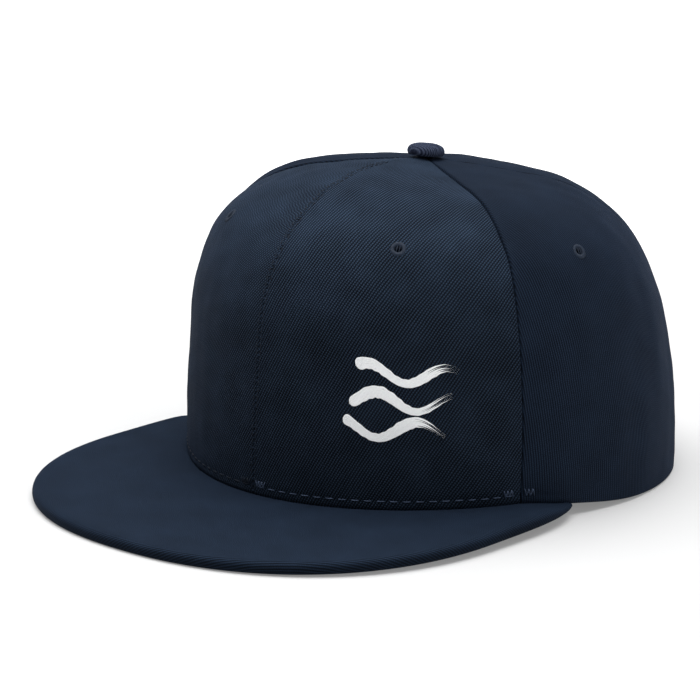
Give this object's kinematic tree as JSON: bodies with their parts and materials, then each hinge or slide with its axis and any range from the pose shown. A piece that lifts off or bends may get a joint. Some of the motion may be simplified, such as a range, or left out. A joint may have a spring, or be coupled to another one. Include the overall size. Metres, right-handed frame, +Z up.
{
  "type": "flat bill cap",
  "caption": "Structured cloth cap with a tall rounded crown of sewn panels, small sewn eyelets, a covered top button and a stiff flat bill.",
  "frame": {"origin": "on the surface that the cap stands on, below the middle of its length and width", "axes": "+Z up, -Y the way the bill points, +X the wearer's left"},
  "size_m": [0.1858, 0.263, 0.1213],
  "materials": {
    "crown_twill": "matt navy twill",
    "bill_twill": "matt navy twill over a stiffener",
    "button_cloth": "matt navy ribbed cloth",
    "eyelet_thread": "navy thread, closely stitched"
  },
  "bodies": {
    "root": {"crown_front_left": "crown_twill", "crown_front_right": "crown_twill", "crown_side_left": "crown_twill", "crown_side_right": "crown_twill", "crown_back_left": "crown_twill", "crown_back_right": "crown_twill", "eyelet_front_left": "eyelet_thread", "eyelet_front_right": "eyelet_thread", "eyelet_side_left": "eyelet_thread", "eyelet_side_right": "eyelet_thread", "eyelet_back_left": "eyelet_thread", "eyelet_back_right": "eyelet_thread", "button": "button_cloth", "bill": "bill_twill"}
  },
  "joints": []
}
